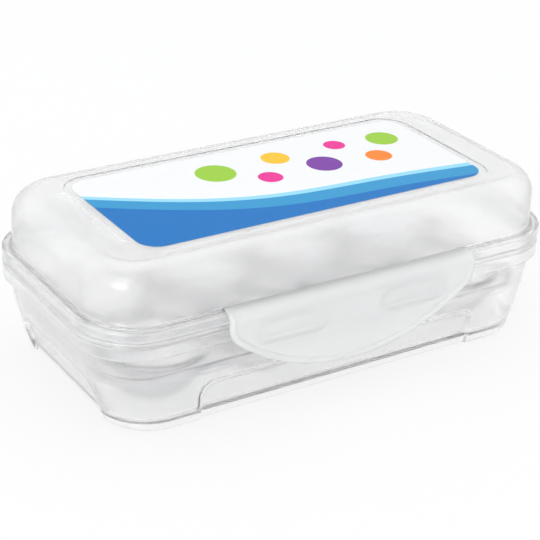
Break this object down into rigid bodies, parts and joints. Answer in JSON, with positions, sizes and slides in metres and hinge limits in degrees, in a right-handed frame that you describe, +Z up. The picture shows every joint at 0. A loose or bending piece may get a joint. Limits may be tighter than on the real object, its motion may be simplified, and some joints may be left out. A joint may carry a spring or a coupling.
{
  "type": "egg case",
  "caption": "Clear plastic egg case with a hinged lid, a wide D-shaped front clip and a lift-out tray of round cups.",
  "frame": {"origin": "centre of the case's outline on the table, under the feet", "axes": "+X along the length, -Y towards the clip, +Z up"},
  "size_m": [0.226, 0.1238, 0.0734],
  "materials": {
    "tub_plastic": "translucent moulded polypropylene",
    "lid_plastic": "translucent moulded polypropylene",
    "clip_plastic": "translucent moulded polypropylene",
    "tray_plastic": "translucent moulded polypropylene",
    "label_film": "printed film"
  },
  "bodies": {
    "tub": {"base_tub": "tub_plastic"},
    "tray": {"egg_tray": "tray_plastic", "egg_cup_front_1": "tray_plastic", "egg_cup_front_2": "tray_plastic", "egg_cup_front_3": "tray_plastic", "egg_cup_front_4": "tray_plastic", "egg_cup_back_1": "tray_plastic", "egg_cup_back_2": "tray_plastic", "egg_cup_back_3": "tray_plastic", "egg_cup_back_4": "tray_plastic"},
    "lid": {"lid_shell": "lid_plastic", "top_label": "label_film"},
    "clip": {"front_clip": "clip_plastic"}
  },
  "joints": [
    {"name": "lid_hinge", "type": "hinge", "parent": "tub", "child": "lid", "pos_m": [0, 0.0596, 0.04315], "axis": [-1, 0, 0], "range_deg": [0, 110]},
    {"name": "clip_hinge", "type": "hinge", "parent": "lid", "child": "clip", "pos_m": [0, -0.0545, 0.05025], "axis": [-1, 0, 0], "range_deg": [0, 95]},
    {"name": "tray_lift", "type": "slide", "parent": "tub", "child": "tray", "axis": [0, 0, 1], "range_m": [0, 0.04]}
  ]
}
